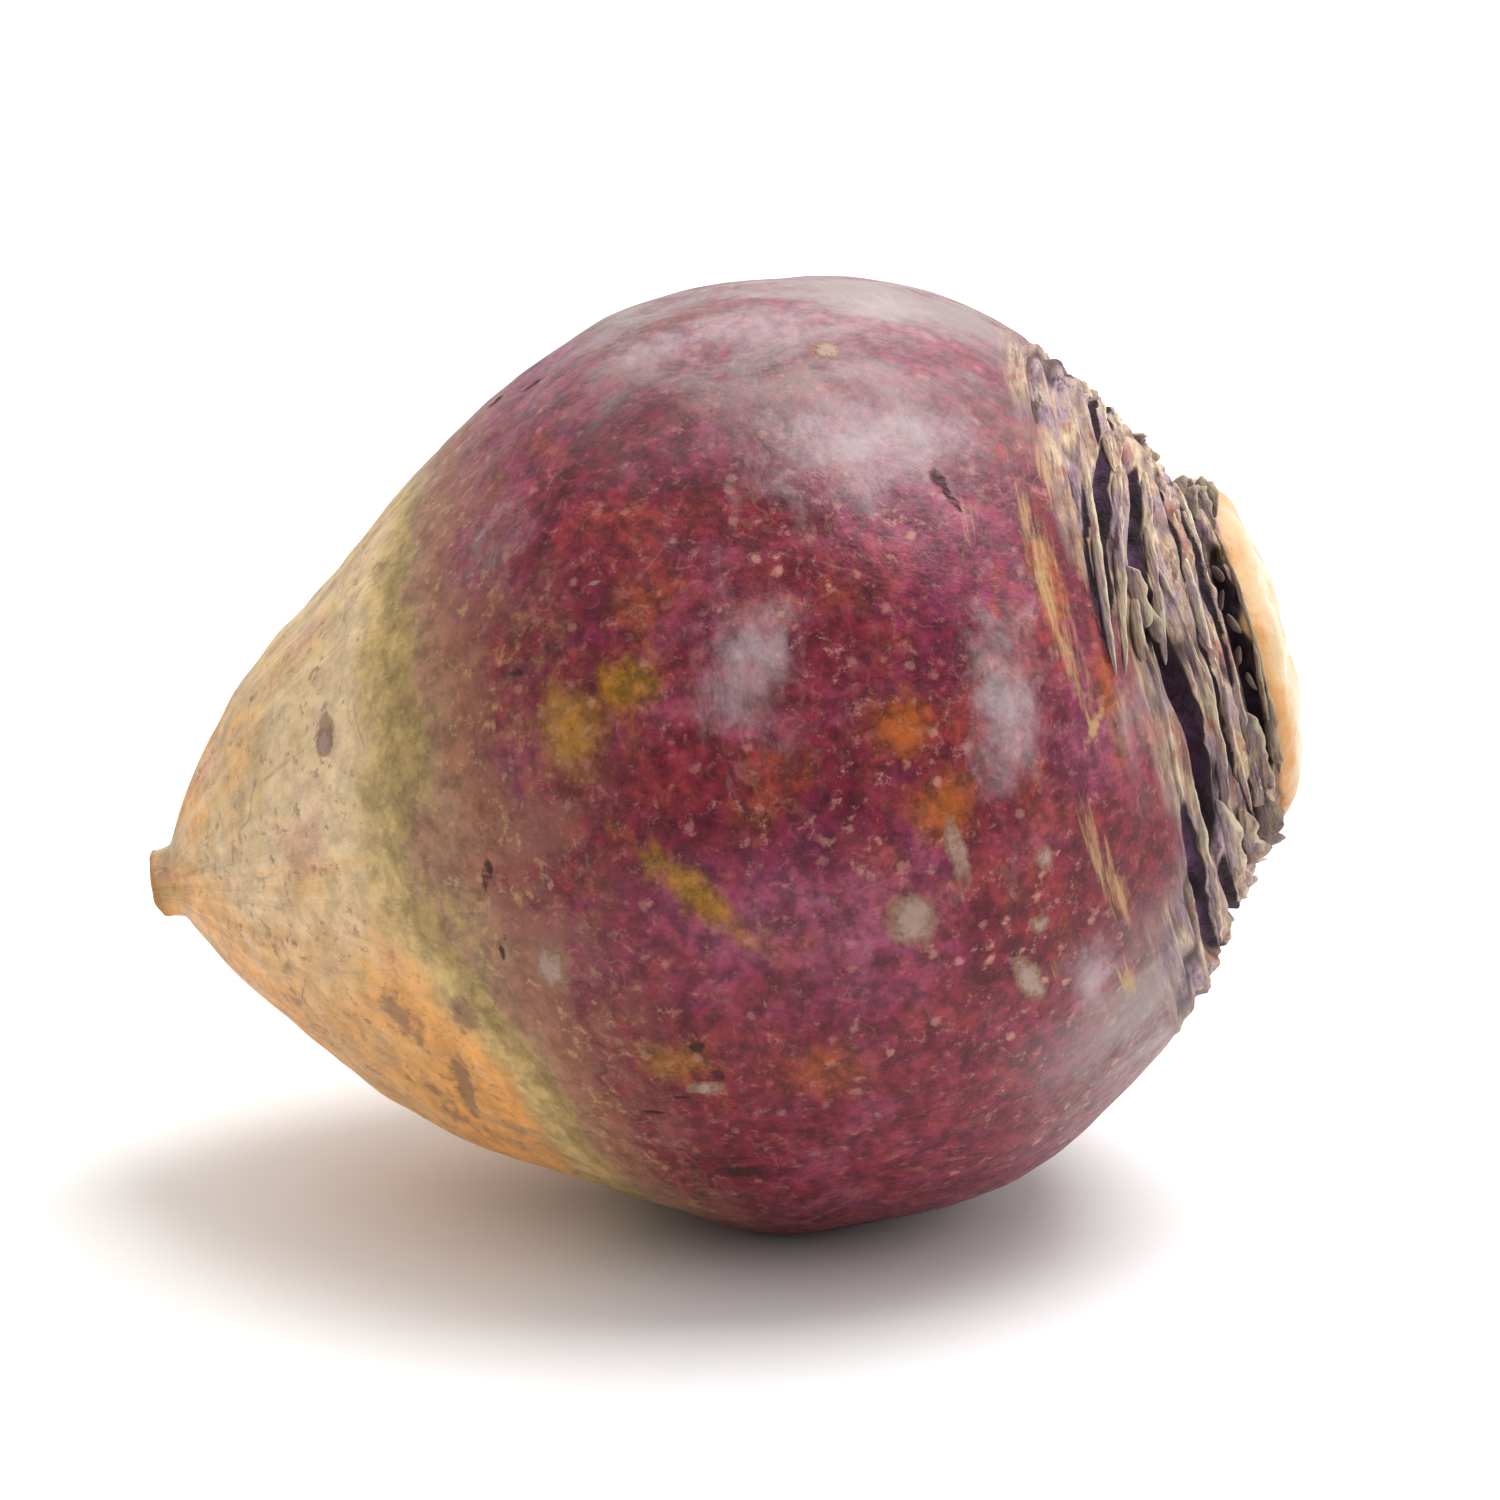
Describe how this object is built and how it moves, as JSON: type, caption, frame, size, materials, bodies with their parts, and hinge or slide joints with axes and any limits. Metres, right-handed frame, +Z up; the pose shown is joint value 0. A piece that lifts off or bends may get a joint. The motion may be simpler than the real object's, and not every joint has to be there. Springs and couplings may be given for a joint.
{
  "type": "swede",
  "caption": "Whole swede lying on its side: pear-shaped purple and cream root with leaf-scar rings around a cut crown.",
  "frame": {"origin": "centre of the small flat spot on the belly that the swede rests on", "axes": "+Z up from the surface it rests on; +X along the swede towards its crown, which is raised about 14 degrees; +Y to its far side"},
  "size_m": [0.1454, 0.1183, 0.1177],
  "materials": {
    "swede_skin": "dull waxy skin, mottled purple above the soil line and tan to cream below it"
  },
  "bodies": {
    "root": {"swede": "swede_skin"}
  },
  "joints": []
}
